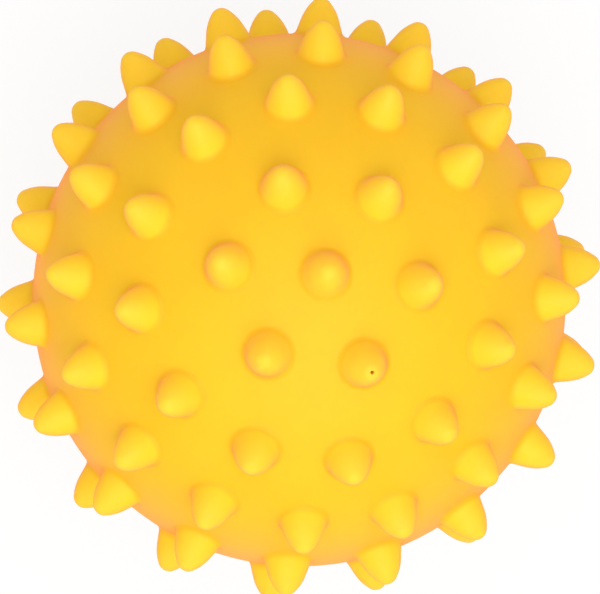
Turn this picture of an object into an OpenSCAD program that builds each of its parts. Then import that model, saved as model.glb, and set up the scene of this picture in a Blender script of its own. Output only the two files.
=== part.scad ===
// Soft sensory ball: one hollow moulded skin covered in rings of rounded nubs, with a needle valve
// bonded inside it, behind the one nub that is pierced. The origin is the ball's centre and +Z is up.
// The ball stands on three nubs, with the front pole of its pattern on top, leaning back by sit_tilt.

/* [Ball] */
// Diameter of the skin between the nubs
ball_d = 88; // [76:1:160]
// Thickness of the skin between the nubs
wall = 2.6; // [1.8:0.1:4]

/* [Nubs] */
// Height of a nub above the skin
nub_h = 6; // [5:0.1:9]
// Width of a nub's cone where it meets the skin
nub_base_d = 8; // [6:0.1:9]
// Radius of a nub's rounded tip
nub_tip_r = 2.2; // [1.2:0.1:2.6]
// Width of the small flat that ends a nub's tip
tip_flat_d = 0.3; // [0.1:0.05:0.3]
// Radius of the fillet round a nub's foot
nub_foot_r = 1.2; // [0.6:0.1:1.6]
// Nubs in each ring, from the front pole to the back pole
ring_counts = [1, 6, 12, 16, 18, 17, 16, 12, 6, 1]; // [1:1:18]
// Turn of the first nub of each ring about the pole, in degrees
ring_turns = [0, -5.5, 9.5, -2.25, 6.5, 11, 0, 9, 0, 0]; // [-30:0.25:30]
// Angle of each front ring from the front pole, in degrees, which the back rings mirror
front_angles = [0, 20.5, 41.25, 60, 81]; // [0:0.25:81]
// Gap in the last ring that faces the floor, counted from that ring's first nub
rest_gap = 1; // [0:1:5]

/* [Needle valve] */
// Ring of the pierced nub, counted from the front pole
pierced_ring = 1; // [1:1:8]
// Place of the pierced nub in its ring
pierced_nub = 5; // [0:1:5]
// Diameter of the needle hole, with no needle in it
needle_d = 0.6; // [0.4:0.1:1.2]
// Diameter of the flange that is bonded to the inside of the skin
flange_d = 18; // [15:0.5:24]
// Thickness of that flange
flange_t = 1.6; // [1:0.1:2.4]
// Outer diameter of the housing's stem
stem_d = 10; // [9.4:0.1:14]
// Length of the stem below the flange
stem_len = 11; // [8:0.5:16]
// Diameter of the rubber core
core_d = 5.6; // [4.6:0.1:6.4]
// Diameter of the core's head, which stops it falling through
head_d = 7.8; // [7:0.1:8.6]
// Thickness of the core's head
head_t = 1.5; // [1:0.1:2.5]
// Thickness of the lip that closes the stem round the core's nose
lip_t = 1.2; // [0.8:0.1:2]
// Width of that lip, inwards from the core's side
lip_w = 0.9; // [0.5:0.1:1.2]
// Width of the funnel that leads the needle into the core
funnel_d = 2.4; // [1.6:0.1:3.2]
// Length of the slit that closes the core's nose behind the needle
slit_len = 3; // [2:0.1:4]
// Thickness of that slit
slit_t = 0.2; // [0.1:0.05:0.4]

/* [Fits] */
// Gap between bonded or pressed faces
bond_gap = 0.05; // [0.02:0.01:0.1]

/* [Hidden] */
$fa = 6;
$fs = 0.5;

// How far two blended curves overlap, so that they cross instead of only touching
lap = 0.02;
// How far a cut runs past the face that it opens
past = 1;

ball_r = ball_d / 2;
inner_r = ball_r - wall;
mid_r = ball_r - wall / 2;

// Angle of every ring from the front pole
back_angles = [for (i = [len(front_angles) - 1 : -1 : 0]) 180 - front_angles[i]];
ring_angles = concat(front_angles, back_angles);

// The ball rests on the back pole's nub and on two neighbours in the ring next to it. It leans back until
// the straight-down line is as far from the pole's nub as from those two
heel_ring = len(ring_counts) - 2;
heel_reach = sin(ring_angles[heel_ring]) * cos(180 / ring_counts[heel_ring]);
sit_tilt = atan2(1 + cos(ring_angles[heel_ring]), heel_reach);

// Nub profile, x out from its axis and y out from the ball's centre
tip_y = ball_r + nub_h - sqrt(nub_tip_r ^ 2 - (tip_flat_d / 2) ^ 2);
base = [nub_base_d / 2, ball_r];
base_to_tip = norm([base.x, tip_y - base.y]);
// The flank runs from the base and touches the tip's circle
flank_angle = atan2(base.x, tip_y - base.y) - asin(nub_tip_r / base_to_tip);
flank_out = [cos(flank_angle), sin(flank_angle)];
flank_up = [-sin(flank_angle), cos(flank_angle)];
flank_top = base + flank_up * sqrt(base_to_tip ^ 2 - nub_tip_r ^ 2) - flank_out * lap;
// The foot's circle lies against the flank and against the ball
foot_start = base + flank_out * (nub_foot_r - 2 * lap);
foot_climb = foot_start * flank_up;
foot_far = ball_r + nub_foot_r - lap;
foot_rise = sqrt(foot_climb ^ 2 + foot_far ^ 2 - foot_start * foot_start) - foot_climb;
foot_centre = foot_start + flank_up * foot_rise;
flank_foot = foot_centre - flank_out * (nub_foot_r - lap);
root = foot_centre * mid_r / norm(foot_centre);

// Valve levels along the pierced nub's axis, out from the ball's centre
seat_r = inner_r - bond_gap;
flange_under_r = seat_r - flange_t;
stem_end = flange_under_r - stem_len;
core_r = core_d / 2;
head_r = head_d / 2;
head_under = seat_r - head_t;
core_end = stem_end + lip_t + bond_gap;

function nub_turn(ring, place) = ring_turns[ring] + 360 * place / ring_counts[ring];

// Turns the nub pattern, whose pole is up, to the way that the ball stands
module as_it_sits() {
    rotate([-sit_tilt, 0, 0]) rotate([0, 0, 90 - nub_turn(heel_ring, rest_gap + 0.5)]) children();
}

// Points a child's own axis out through one nub
module at_nub(ring, place) {
    rotate([0, ring_angles[ring], nub_turn(ring, place)]) children();
}

module at_pierced_nub() {
    as_it_sits() at_nub(pierced_ring, pierced_nub) children();
}

module nub_profile() {
    difference() {
        union() {
            polygon([[0, root.y], root, foot_centre, flank_foot, flank_top, [0, flank_top.y]]);
            intersection() {
                translate([0, tip_y]) circle(nub_tip_r);
                translate([0, ball_r]) square([nub_base_d, nub_h]);
            }
        }
        translate(foot_centre) circle(nub_foot_r);
    }
}

module nub() {
    rotate_extrude() nub_profile();
}

module nub_rings() {
    for (ring = [0 : len(ring_counts) - 1])
        for (place = [0 : ring_counts[ring] - 1])
            at_nub(ring, place) nub();
}

// A plain ball whose own poles and seam line lie in the clear belt between the two middle rings
module plain_ball(r) {
    rotate([90, 0, 0]) sphere(r);
}

module needle_hole() {
    translate([0, 0, inner_r - past]) cylinder(d = needle_d, h = wall + nub_h + 2 * past);
}

// Soft vinyl moulding, hollow, with solid nubs and the needle hole through one of them
module skin() {
    color("gold") as_it_sits() difference() {
        union() {
            plain_ball(ball_r);
            nub_rings();
        }
        plain_ball(inner_r);
        at_nub(pierced_ring, pierced_nub) needle_hole();
    }
}

// Vinyl carrier bonded to the inside of the skin: a domed flange and a stem with a lipped end
module valve_housing() {
    bore_r = core_r + bond_gap;
    pocket_r = head_r + bond_gap;
    color("khaki") at_pierced_nub() rotate_extrude() difference() {
        intersection() {
            circle(seat_r);
            union() {
                translate([0, stem_end]) square([stem_d / 2, stem_len + flange_t]);
                difference() {
                    translate([0, stem_end]) square([flange_d / 2, stem_len + flange_t]);
                    circle(flange_under_r);
                }
            }
        }
        translate([0, stem_end - past]) square([core_r - lip_w, stem_len]);
        translate([0, stem_end + lip_t]) square([bore_r, stem_len + flange_t]);
        translate([0, head_under - bond_gap]) square([pocket_r, 2 * head_t]);
    }
}

// Self-sealing rubber core: a headed plug with a funnel, a needle hole and a slit nose
module valve_core() {
    slit_top = core_end + slit_len;
    color("dimgray") at_pierced_nub() difference() {
        rotate_extrude() difference() {
            intersection() {
                circle(seat_r);
                union() {
                    translate([0, core_end]) square([core_r, seat_r - core_end]);
                    translate([0, head_under]) square([head_r, head_t]);
                }
            }
            translate([0, slit_top]) square([needle_d / 2, seat_r - slit_top]);
            polygon([[0, head_under], [needle_d / 2, head_under], [funnel_d / 2, seat_r], [0, seat_r]]);
        }
        translate([-core_d / 4, -slit_t / 2, core_end - past]) cube([core_d / 2, slit_t, slit_len + past]);
    }
}

skin();
valve_housing();
valve_core();
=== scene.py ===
import bmesh
import bpy
import numpy as np
from mathutils import Matrix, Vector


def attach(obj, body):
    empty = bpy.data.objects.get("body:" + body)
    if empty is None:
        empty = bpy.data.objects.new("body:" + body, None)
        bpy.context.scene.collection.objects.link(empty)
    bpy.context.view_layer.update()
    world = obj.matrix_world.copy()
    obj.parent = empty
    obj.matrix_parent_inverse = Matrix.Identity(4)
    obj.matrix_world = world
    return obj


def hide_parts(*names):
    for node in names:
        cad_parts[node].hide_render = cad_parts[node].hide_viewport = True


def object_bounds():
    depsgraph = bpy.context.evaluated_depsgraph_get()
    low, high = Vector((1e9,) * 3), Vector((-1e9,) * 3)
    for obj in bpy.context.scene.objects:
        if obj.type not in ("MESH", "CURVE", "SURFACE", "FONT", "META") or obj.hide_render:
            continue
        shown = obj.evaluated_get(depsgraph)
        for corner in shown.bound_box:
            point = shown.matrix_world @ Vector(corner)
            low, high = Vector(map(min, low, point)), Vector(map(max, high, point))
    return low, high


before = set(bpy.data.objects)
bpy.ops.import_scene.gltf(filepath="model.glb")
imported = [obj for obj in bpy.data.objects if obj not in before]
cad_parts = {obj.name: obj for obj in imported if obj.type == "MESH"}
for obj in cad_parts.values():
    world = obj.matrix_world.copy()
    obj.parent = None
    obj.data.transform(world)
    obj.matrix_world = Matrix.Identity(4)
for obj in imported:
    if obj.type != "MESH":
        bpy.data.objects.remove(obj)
cad_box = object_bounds()
scene = bpy.context.scene

# Skin: one hollow moulding of soft yellow vinyl, turned in a heated mould, so it has no seam.
# Its nubs are solid, stand in rings about a pole, and run into the wall with a fillet.
# One nub near the pole is pierced from tip to hollow for the needle of a small pump.
skin_radius = 0.044
skin_wall = 0.0026
nub_height = 0.006
nub_foot_fillet = 0.001
needle_radius = 0.0003
ring_counts = np.array([1, 6, 12, 16, 18, 17, 16, 12, 6, 1])
ring_turns = np.radians([0, -5.5, 9.5, -2.25, 6.5, 11, 0, 9, 0, 0])
front_angles = np.radians([0, 20.5, 41.25, 60, 81])
ring_angles = np.concatenate([front_angles, np.pi - front_angles[::-1]])
pierced_nub = ring_counts[0] + 5


def ball_stance():
    """Turn of the nub pattern, pole up, to the ball as it stands on the back pole's nub and two others.

    Those two are neighbours in the ring next to that pole. The lean about X is where straight down is as far
    from the pole's nub as from them: tan(lean) = (1 + cos(angle)) / (sin(angle) * cos(half step)), with
    their ring's angle and step."""
    angle, half_step = ring_angles[-2], np.pi / ring_counts[-2]
    lean = np.arctan2(1 + np.cos(angle), np.sin(angle) * np.cos(half_step))
    cosine, sine = np.cos(lean), np.sin(lean)
    return np.array([[1, 0, 0], [0, cosine, sine], [0, -sine, cosine]])


def nub_axes():
    """Unit axis of every nub.

    Each ring lies at its angle from the pole, with its nubs in even steps round from its turn."""
    ring = np.repeat(np.arange(len(ring_counts)), ring_counts)
    place = np.arange(len(ring)) - np.repeat(np.cumsum(ring_counts) - ring_counts, ring_counts)
    turn = ring_turns[ring] + 2 * np.pi * place / ring_counts[ring]
    away = ring_angles[ring]
    axes = np.stack([np.sin(away) * np.cos(turn), np.sin(away) * np.sin(turn), np.cos(away)], 1)
    return axes @ ball_stance().T


def nub_profile():
    """Half outline of a nub, out from its axis and up from the ball's centre, from the tip to the wall.

    A tip arc, a wider shoulder arc and a straight flank follow each other without a corner. A foot arc then
    turns the flank out on to the ball: its centre is a fillet away from both the flank and the ball."""
    tip_arc, shoulder_arc = 0.0019, 0.0076
    tip_turn, flank_turn = np.radians([46, 72])
    tip_points, shoulder_points, flank_points, foot_points = 7, 5, 5, 7
    turn = np.linspace(0, tip_turn, tip_points)
    tip = np.stack([tip_arc * np.sin(turn), tip_arc * (np.cos(turn) - 1)], 1)
    turn = np.linspace(tip_turn, flank_turn, shoulder_points)[1:]
    shoulder = np.stack([np.sin(turn) - np.sin(tip_turn), np.cos(turn) - np.cos(tip_turn)], 1)
    shoulder = shoulder * shoulder_arc + tip[-1]
    outline = np.concatenate([tip, shoulder]) + [0, skin_radius + nub_height]
    down = np.array([np.cos(flank_turn), -np.sin(flank_turn)])
    out = np.array([np.sin(flank_turn), np.cos(flank_turn)])
    start = outline[-1] + out * nub_foot_fillet
    reach = skin_radius + nub_foot_fillet
    along = -start @ down - np.sqrt((start @ down) ** 2 - start @ start + reach ** 2)
    centre = start + down * along
    flank = outline[-1] + down * along * np.linspace(0, 1, flank_points)[1:, None]
    first = np.arctan2(-out[1], -out[0])
    last = np.arctan2(-centre[1], -centre[0])
    turn = np.linspace(first, last + 2 * np.pi * (last < first), foot_points)[1:]
    foot = centre + nub_foot_fillet * np.stack([np.cos(turn), np.sin(turn)], 1)
    return np.concatenate([outline, flank, foot])


def cell_borders(axes):
    """Border points of the ground nearest to each nub, in order round it, as unit directions.

    The corners lie as far from three nubs at once: the centres of the facets that join neighbouring nubs.
    The arc between two corners is cut in equal steps, so neighbours share its points."""
    longest_step, shortest_arc = np.radians(2.2), 1e-5
    along_no_nub = [0.31, 0.52, 0.79]
    joined = bpy.data.meshes.new("nub_neighbours")
    joined.from_pydata(axes, [], [])
    facets = bmesh.new()
    facets.from_mesh(joined)
    bmesh.ops.convex_hull(facets, input=facets.verts)
    corners = np.array([[vertex.index for vertex in facet.verts] for facet in facets.faces])
    facets.free()
    bpy.data.meshes.remove(joined)
    one, two, three = axes[corners].transpose(1, 0, 2)
    middle = np.cross(two - one, three - one)
    middle *= np.sign((middle * one).sum(1))[:, None] / np.linalg.norm(middle, axis=1)[:, None]
    borders = []
    for nub, axis in enumerate(axes):
        ring = middle[(corners == nub).any(1)]
        side = np.cross(axis, along_no_nub)
        side /= np.linalg.norm(side)
        ring = ring[np.argsort(np.arctan2(ring @ np.cross(axis, side), ring @ side))]
        arcs = []
        for start, end in zip(ring, np.roll(ring, -1, 0)):
            angle = np.arctan2(np.linalg.norm(np.cross(start, end)), start @ end)
            if angle > shortest_arc:
                steps = int(np.ceil(angle / longest_step))
                part = np.arange(steps)[:, None] / steps
                arc = np.sin((1 - part) * angle) * start + np.sin(part * angle) * end
                arcs.append(arc / np.sin(angle))
        borders.append(np.concatenate(arcs))
    return borders


def pierced_profile(profile, mouth):
    """Nub profile with the needle hole in place of its tip.

    The hole's wall climbs straight from its mouth in the hollow. Its rim then rounds over, with each point
    some hole radii out and some share of the rim's depth down, and the profile goes on past the rim."""
    rim_depth, rim_width = 0.0004, 1.5 * needle_radius
    rim_out = needle_radius * np.array([1, 1.03, 1.25])
    rim_up = skin_radius + nub_height - rim_depth * np.array([1, 0.4, 0.15])
    rim = np.stack([rim_out, rim_up], 1)
    return np.concatenate([[[needle_radius, mouth]], rim, profile[profile[:, 0] > rim_width]])


def skin_patch(axis, border, profile, pierced):
    """Grid of one nub and its ground, rows by rays, and the matching grid of the hollow's wall behind it.

    A ray runs from the nub's axis to one border point. Down each ray go the nub's profile, then even steps
    over the ball to the border. Behind it, even steps over the hollow run back, to the axis or to the mouth
    of the needle hole."""
    ground_steps = 3
    along = border @ axis
    side = border - along[:, None] * axis
    far = np.arctan2(np.linalg.norm(side, axis=1), along)
    side /= np.linalg.norm(side, axis=1)[:, None]
    hollow = skin_radius - skin_wall
    inmost = 0
    if pierced:
        inmost = np.arcsin(needle_radius / hollow)
        profile = pierced_profile(profile, np.sqrt(hollow ** 2 - needle_radius ** 2))
    nub = axis * profile[:, None, 1:] + side * profile[:, None, :1]
    foot = np.arctan2(*profile[-1])
    out = foot + (far - foot) * np.linspace(0, 1, ground_steps + 1)[1:, None]
    ground = skin_radius * (axis * np.cos(out)[..., None] + side * np.sin(out)[..., None])
    back = inmost + (far - inmost) * np.linspace(1, 0, ground_steps + 1)[:, None]
    inside = hollow * (axis * np.cos(back)[..., None] + side * np.sin(back)[..., None])
    return np.concatenate([nub, ground]), inside


def grid_faces(rows, rays, first):
    """Four-sided faces of a grid that closes round on its rays, turned to face away from the solid."""
    row, ray = np.meshgrid(np.arange(rows - 1), np.arange(rays), indexing="ij")
    upper, lower, after = row * rays, (row + 1) * rays, (ray + 1) % rays
    corners = np.stack([upper + ray, lower + ray, lower + after, upper + after], -1)
    return first + corners.reshape(-1, 4)


axes = nub_axes()
profile = nub_profile()
points, faces, count = [], [], 0
for nub, (axis, border) in enumerate(zip(axes, cell_borders(axes))):
    for grid in skin_patch(axis, border, profile, nub == pierced_nub):
        points.append(grid.reshape(-1, 3))
        faces.append(grid_faces(len(grid), len(border), count))
        count += len(points[-1])
skin_mesh = bpy.data.meshes.new("vinyl_skin")
skin_mesh.from_pydata(np.concatenate(points), [], np.concatenate(faces))
weld_gap = 2e-6
welded = bmesh.new()
welded.from_mesh(skin_mesh)
bmesh.ops.remove_doubles(welded, verts=welded.verts, dist=weld_gap)
welded.to_mesh(skin_mesh)
welded.free()
skin_mesh.polygons.foreach_set("use_smooth", np.ones(len(skin_mesh.polygons), bool))
spots = np.empty(len(skin_mesh.vertices) * 3, np.float32)
skin_mesh.vertices.foreach_get("co", spots)
rise = (np.linalg.norm(spots.reshape(-1, 3), axis=1) - skin_radius) / nub_height
nub_rise = skin_mesh.attributes.new("nub_rise", "FLOAT", "POINT")
nub_rise.data.foreach_set("value", np.clip(rise, 0, 1).astype(np.float32))
skin = bpy.data.objects.new("vinyl_skin", skin_mesh)
scene.collection.objects.link(skin)


def moulded_soft(name, shades, blotch, grain, grain_depth, roughness):
    """Material of a soft moulding, and its shader and colour output.

    One noise of blotch lumps to the metre drifts the colour between two shades and the roughness between two
    values. A finer noise of grain lumps to the metre, grain_depth deep, is the grain left by the mould."""
    drift_from, drift_to = 0.3, 0.7
    material = bpy.data.materials.new(name)
    material.use_nodes = True
    nodes, links = material.node_tree.nodes, material.node_tree.links
    shader = nodes["Principled BSDF"]
    spot = nodes.new("ShaderNodeTexCoord")
    lumps = {}
    for kind, scale in (("blotch", blotch), ("grain", grain)):
        lumps[kind] = nodes.new("ShaderNodeTexNoise")
        lumps[kind].inputs["Scale"].default_value = scale
        lumps[kind].inputs["Detail"].default_value = 3
        links.new(spot.outputs["Object"], lumps[kind].inputs["Vector"])
    tint = nodes.new("ShaderNodeValToRGB")
    for stop, drift, shade in zip(tint.color_ramp.elements, (drift_from, drift_to), shades):
        stop.position = drift
        stop.color = (*shade, 1)
    links.new(lumps["blotch"].outputs["Fac"], tint.inputs["Fac"])
    links.new(tint.outputs["Color"], shader.inputs["Base Color"])
    polish = nodes.new("ShaderNodeMapRange")
    polish.inputs["From Min"].default_value = drift_from
    polish.inputs["From Max"].default_value = drift_to
    polish.inputs["To Min"].default_value, polish.inputs["To Max"].default_value = roughness
    links.new(lumps["blotch"].outputs["Fac"], polish.inputs["Value"])
    links.new(polish.outputs["Result"], shader.inputs["Roughness"])
    bump = nodes.new("ShaderNodeBump")
    bump.inputs["Strength"].default_value = 0.3
    bump.inputs["Distance"].default_value = grain_depth
    links.new(lumps["grain"].outputs["Fac"], bump.inputs["Height"])
    links.new(bump.outputs["Normal"], shader.inputs["Normal"])
    return material, shader, tint.outputs["Color"]


ground_shades = (1.0, 0.53, 0.006), (1.0, 0.55, 0.01)
# Painted light: the nubs are painted lighter than the ground, most on the flank, to lift the shade that
# falls round their feet. The tip is painted a little darker than the flank, as painted shade against the
# subsurface glow that brightens it.
painted_nub_shades = (1.0, 0.62, 0.022), (1.0, 0.57, 0.034)
# Shares of a nub's height where the ground's colour ends and where the painted flank and tip shades lie
foot_rise, flank_rise, tip_rise = 0.2, 0.25, 1.0
vinyl, shader, ground = moulded_soft(
    "yellow_vinyl", ground_shades, blotch=90, grain=1400, grain_depth=0.00003, roughness=(0.5, 0.6))
shader.inputs["IOR"].default_value = 1.5
shader.inputs["Specular IOR Level"].default_value = 0.22
shader.inputs["Subsurface Weight"].default_value = 1.0
shader.inputs["Subsurface Radius"].default_value = (1.0, 0.8, 0.2)
shader.inputs["Subsurface Scale"].default_value = 0.0025
shader.inputs["Sheen Weight"].default_value = 1.0
shader.inputs["Sheen Roughness"].default_value = 0.45
shader.inputs["Sheen Tint"].default_value = (1.0, 0.25, 0.12, 1)
nodes, links = vinyl.node_tree.nodes, vinyl.node_tree.links
# Painted light on the nubs: a ramp lays the lighter flank and the darker tip by height, and a mix fades them
# in over the foot, on top of the ground's own colour.
rise_read = nodes.new("ShaderNodeAttribute")
rise_read.attribute_name = "nub_rise"
up_nub = nodes.new("ShaderNodeMapRange")
up_nub.interpolation_type = "SMOOTHSTEP"
up_nub.inputs["From Max"].default_value = foot_rise
links.new(rise_read.outputs["Fac"], up_nub.inputs["Value"])
painted_nub_ramp = nodes.new("ShaderNodeValToRGB")
for stop, height, shade in zip(painted_nub_ramp.color_ramp.elements, (flank_rise, tip_rise), painted_nub_shades):
    stop.position = height
    stop.color = (*shade, 1)
links.new(rise_read.outputs["Fac"], painted_nub_ramp.inputs["Fac"])
painted_light_mix = nodes.new("ShaderNodeMix")
painted_light_mix.data_type = "RGBA"
links.new(up_nub.outputs["Result"], painted_light_mix.inputs["Factor"])
links.new(ground, painted_light_mix.inputs["A"])
links.new(painted_nub_ramp.outputs["Color"], painted_light_mix.inputs["B"])
links.new(painted_light_mix.outputs["Result"], shader.inputs["Base Color"])
skin_mesh.materials.append(vinyl)
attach(skin, "root")
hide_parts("skin")

# Valve housing: a carrier of firmer pale vinyl, moulded with a domed flange and a lipped stem.
# Its flange is glued to the inside of the skin, behind the pierced nub.
housing_shades = (0.80, 0.72, 0.47), (0.88, 0.81, 0.58)
housing_vinyl, shader, _ = moulded_soft(
    "pale_housing_vinyl", housing_shades, blotch=160, grain=1800, grain_depth=0.00002, roughness=(0.5, 0.62))
shader.inputs["Subsurface Weight"].default_value = 0.3
shader.inputs["Subsurface Radius"].default_value = (1.0, 0.8, 0.5)
shader.inputs["Subsurface Scale"].default_value = 0.001
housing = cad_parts["valve_housing"]
housing.data.materials.clear()
housing.data.materials.append(housing_vinyl)

# Valve core: a headed plug of soft black rubber, pressed into the housing from the skin's side.
# The needle slides down its funnel and opens the slit in its nose.
core_shades = (0.012, 0.012, 0.013), (0.024, 0.023, 0.023)
core_rubber, shader, _ = moulded_soft(
    "black_core_rubber", core_shades, blotch=300, grain=2600, grain_depth=0.00002, roughness=(0.6, 0.75))
shader.inputs["Specular IOR Level"].default_value = 0.3
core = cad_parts["valve_core"]
core.data.materials.clear()
core.data.materials.append(core_rubber)

# Floor: a flat sheet of pale paper under the ball, which keeps the ball's soft shadow.
# Looked at directly it is nearly all white.
floor_level = cad_box[0].z
floor_half = 3
paper_shade = (0.85, 0.85, 0.85, 1)
white_share = 0.85
corners = [(x * floor_half, y * floor_half, floor_level) for x, y in ((-1, -1), (1, -1), (1, 1), (-1, 1))]
floor_mesh = bpy.data.meshes.new("floor")
floor_mesh.from_pydata(corners, [], [(0, 1, 2, 3)])
floor = bpy.data.objects.new("floor", floor_mesh)
scene.collection.objects.link(floor)


def looked_at(tree):
    """Output that is 1 on the rays that look at the backdrop, and 0 on lighting rays.

    The looking rays are camera, glossy and transmission rays: the greatest of the three outputs."""
    ray = tree.nodes.new("ShaderNodeLightPath")
    looked = ray.outputs["Is Camera Ray"]
    for kind in ("Is Glossy Ray", "Is Transmission Ray"):
        either = tree.nodes.new("ShaderNodeMath")
        either.operation = "MAXIMUM"
        tree.links.new(looked, either.inputs[0])
        tree.links.new(ray.outputs[kind], either.inputs[1])
        looked = either.outputs[0]
    return looked


paper = bpy.data.materials.new("white_paper")
paper.use_nodes = True
nodes, links = paper.node_tree.nodes, paper.node_tree.links
matt = nodes["Principled BSDF"]
matt.inputs["Base Color"].default_value = paper_shade
matt.inputs["Roughness"].default_value = 0.9
glow = nodes.new("ShaderNodeEmission")
whiter = nodes.new("ShaderNodeMath")
whiter.operation = "MULTIPLY"
whiter.inputs[1].default_value = white_share
links.new(looked_at(paper.node_tree), whiter.inputs[0])
blend = nodes.new("ShaderNodeMixShader")
links.new(whiter.outputs[0], blend.inputs["Fac"])
links.new(matt.outputs["BSDF"], blend.inputs[1])
links.new(glow.outputs["Emission"], blend.inputs[2])
links.new(blend.outputs["Shader"], nodes["Material Output"].inputs["Surface"])
floor_mesh.materials.append(paper)

# Light: two wide soft boxes high over the ball, one of them a little in front, and a pale room all round.
# Looked at directly the room is white.
scene.view_settings.view_transform = "Standard"
room_light = 0.66
room = bpy.data.worlds.new("pale_room")
room.use_nodes = True
nodes, links = room.node_tree.nodes, room.node_tree.links
nodes["Background"].inputs["Color"].default_value = (1, 1, 1, 1)
level = nodes.new("ShaderNodeMath")
level.operation = "MULTIPLY_ADD"
level.inputs[1].default_value, level.inputs[2].default_value = 1 - room_light, room_light
links.new(looked_at(room.node_tree), level.inputs[0])
links.new(level.outputs[0], nodes["Background"].inputs["Strength"])
scene.world = room


def soft_box(name, place, size, watts):
    """Square area lamp at a place, turned to face the ball's centre."""
    lamp = bpy.data.lights.new(name, "AREA")
    lamp.size, lamp.energy = size, watts
    box = bpy.data.objects.new(name, lamp)
    back = np.array(place) / np.linalg.norm(place)
    right = np.cross([0, 1, 0], back)
    right /= np.linalg.norm(right)
    turn = np.column_stack([right, np.cross(back, right), back, place])
    box.matrix_world = Matrix(np.vstack([turn, [0, 0, 0, 1]]).tolist())
    scene.collection.objects.link(box)


soft_box("front_soft_box", place=(0.0, -0.4, 0.8), size=0.8, watts=4.0)
soft_box("top_soft_box", place=(0.0, 0.1, 1.0), size=0.8, watts=3.9)

# Camera: nearly straight down on the ball, as the photo was taken.
# The pole of the nub pattern comes a little up and right of the middle.
pole_tilt, pole_way, roll = np.radians([7.6, 44, -0.2])
camera_distance = 30 * skin_radius
image_long_side, limb_px = 600, 266.5
ball_px = np.array([298.8, 299.3])
image_middle_px = np.array([299.5, 296.5])


def turned(angle):
    """Turn about Z by an angle."""
    cosine, sine = np.cos(angle), np.sin(angle)
    return np.array([[cosine, -sine, 0], [sine, cosine, 0], [0, 0, 1]])


cosine, sine = np.cos(pole_tilt), np.sin(pole_tilt)
lean = np.array([[cosine, 0, sine], [0, 1, 0], [-sine, 0, cosine]])
view_turn = ball_stance() @ (turned(pole_way) @ lean @ turned(pole_way).T @ turned(roll)).T
focal_px = limb_px * np.sqrt((camera_distance / skin_radius) ** 2 - 1)
shift_px = (image_middle_px - ball_px) * [1, -1]
eye = view_turn @ np.append(shift_px / focal_px * camera_distance, camera_distance)
lens = bpy.data.cameras.new("camera")
lens.sensor_width = 36
lens.lens = lens.sensor_width * focal_px / image_long_side
lens.clip_end = 20
camera = bpy.data.objects.new("camera", lens)
camera.matrix_world = Matrix(np.vstack([np.column_stack([view_turn, eye]), [0, 0, 0, 1]]).tolist())
scene.collection.objects.link(camera)
scene.camera = camera
